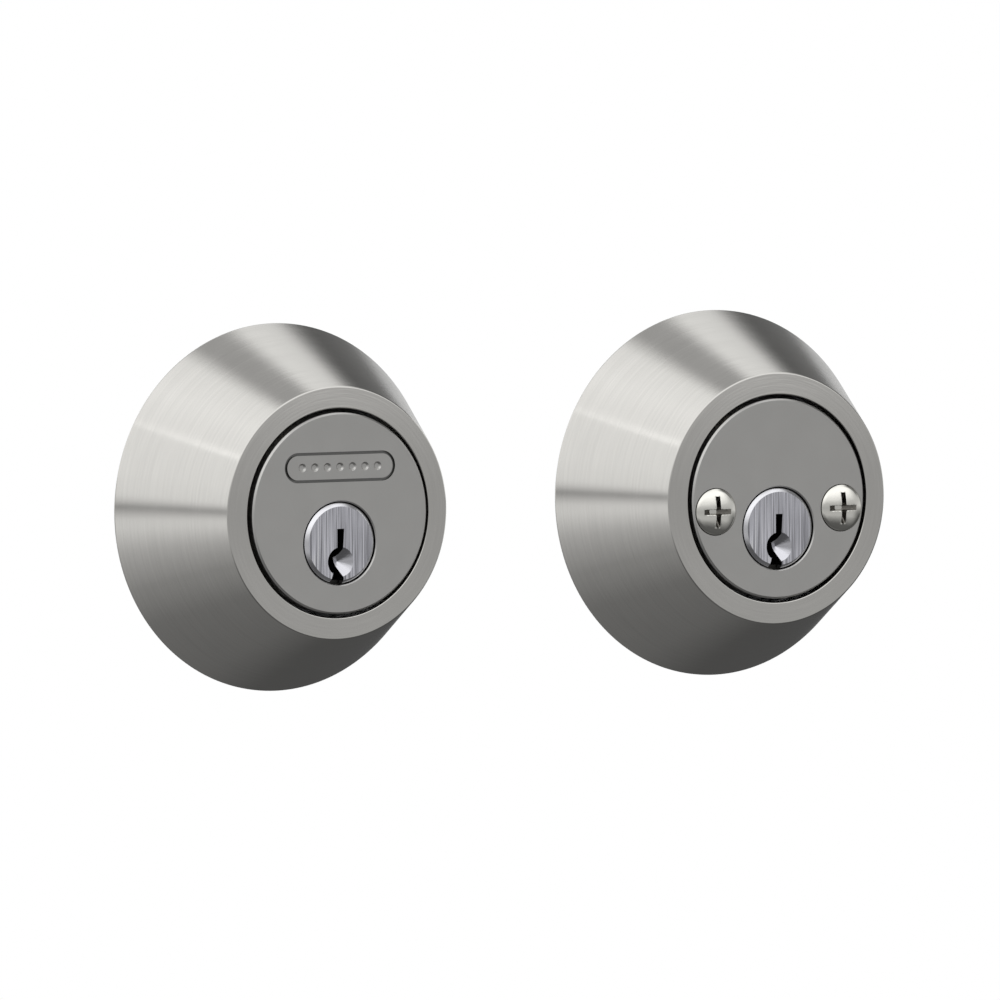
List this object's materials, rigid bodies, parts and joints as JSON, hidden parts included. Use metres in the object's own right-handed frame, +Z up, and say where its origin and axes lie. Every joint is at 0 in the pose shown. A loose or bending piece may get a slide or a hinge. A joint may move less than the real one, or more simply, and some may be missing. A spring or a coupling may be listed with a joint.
{
  "type": "deadbolt door lock",
  "caption": "Double-cylinder tubular deadbolt: tapered round outside and inside halves with keyways, inside screws, bolt with faceplate, and strike.",
  "frame": {"origin": "centre of the outside collar's back rim, on the door's outside face; the inside half is laid out to the right and the bolt with its strike to the left", "axes": "+Z up, +Y from the face of each half into the door, +X to the right seen from the front, away from the strike"},
  "size_m": [0.2584, 0.0554, 0.0634],
  "materials": {
    "collar_satin_nickel": "satin nickel, brushed round its axis",
    "face_satin_nickel": "satin nickel on cast metal, fine and even",
    "edge_satin_nickel": "satin nickel plate, brushed along its length",
    "plug_nickel": "nickel plate, brushed upright, with a polished edge",
    "screw_nickel": "bright nickel plate",
    "hard_steel": "hardened steel, dark, ground",
    "zinc_plated_steel": "bright zinc plate",
    "bolt_steel": "ground steel",
    "spring_steel": "drawn spring wire and strip",
    "brass": "turned brass",
    "plain_steel": "plain steel, lightly oiled",
    "cast_zinc": "die-cast zinc, as cast"
  },
  "bodies": {
    "root": {"outside_guard_ring": "hard_steel", "outside_wave_spring": "spring_steel", "outside_adapter_plate": "zinc_plated_steel", "outside_housing": "face_satin_nickel", "outside_driver_pins": "brass", "outside_pin_springs": "spring_steel", "outside_chamber_cover": "brass", "inside_guard_ring": "hard_steel", "inside_wave_spring": "spring_steel", "inside_mounting_plate": "zinc_plated_steel", "inside_housing": "face_satin_nickel", "inside_driver_pins": "brass", "inside_pin_springs": "spring_steel", "inside_chamber_cover": "brass", "mounting_screws": "screw_nickel", "bolt_faceplate": "edge_satin_nickel", "bolt_backplate": "zinc_plated_steel", "bolt_tube": "zinc_plated_steel", "case_front_half": "zinc_plated_steel", "case_back_half": "zinc_plated_steel", "case_rivets": "plain_steel", "detent_spring": "spring_steel", "strike_plate": "edge_satin_nickel"},
    "outside_collar": {"outside_collar": "collar_satin_nickel"},
    "outside_plug": {"outside_plug": "plug_nickel", "outside_key_pins": "brass", "outside_plug_cap": "brass", "outside_cap_pin": "plain_steel"},
    "outside_tailpiece": {"outside_tailpiece": "plain_steel"},
    "inside_collar": {"inside_collar": "collar_satin_nickel"},
    "inside_plug": {"inside_plug": "plug_nickel", "inside_key_pins": "brass", "inside_plug_cap": "brass", "inside_cap_pin": "plain_steel"},
    "inside_tailpiece": {"inside_tailpiece": "plain_steel"},
    "bolt": {"deadbolt_bar": "bolt_steel", "bolt_link": "zinc_plated_steel", "link_rivet": "plain_steel", "drive_pin": "plain_steel"},
    "roller": {"hardened_roller": "hard_steel"},
    "cam": {"cam": "cast_zinc"}
  },
  "joints": [
    {"name": "outside_collar_spin", "type": "hinge", "parent": "root", "child": "outside_collar", "pos_m": [0, 0, 0], "axis": [0, -1, 0], "continuous": true},
    {"name": "outside_plug_turn", "type": "hinge", "parent": "root", "child": "outside_plug", "pos_m": [0, 0, -0.00515], "axis": [0, -1, 0], "range_deg": [-90, 90]},
    {"name": "outside_tailpiece_play", "type": "hinge", "parent": "outside_plug", "child": "outside_tailpiece", "pos_m": [0, 0, -0.00515], "axis": [0, -1, 0], "range_deg": [0, 90]},
    {"name": "inside_collar_spin", "type": "hinge", "parent": "root", "child": "inside_collar", "pos_m": [0.08835, 0, 0], "axis": [0, -1, 0], "continuous": true},
    {"name": "inside_plug_turn", "type": "hinge", "parent": "root", "child": "inside_plug", "pos_m": [0.08835, 0, -0.00515], "axis": [0, -1, 0], "range_deg": [-90, 90]},
    {"name": "inside_tailpiece_play", "type": "hinge", "parent": "inside_plug", "child": "inside_tailpiece", "pos_m": [0.08835, 0, -0.00515], "axis": [0, -1, 0], "range_deg": [0, 90]},
    {"name": "bolt_throw", "type": "slide", "parent": "root", "child": "bolt", "axis": [-1, 0, 0], "range_m": [0, 0.0254]},
    {"name": "cam_turn", "type": "hinge", "parent": "root", "child": "cam", "pos_m": [-0.0728, 0.0175, -0.00515], "axis": [0, -1, 0], "range_deg": [0, 90]},
    {"name": "roller_spin", "type": "hinge", "parent": "bolt", "child": "roller", "pos_m": [-0.1143, 0.0175, -0.0045], "axis": [1, 0, 0], "continuous": true}
  ],
  "couplings": [
    {"joint": "cam_turn", "follows": "bolt_throw", "rad_per_m": 61.842}
  ]
}
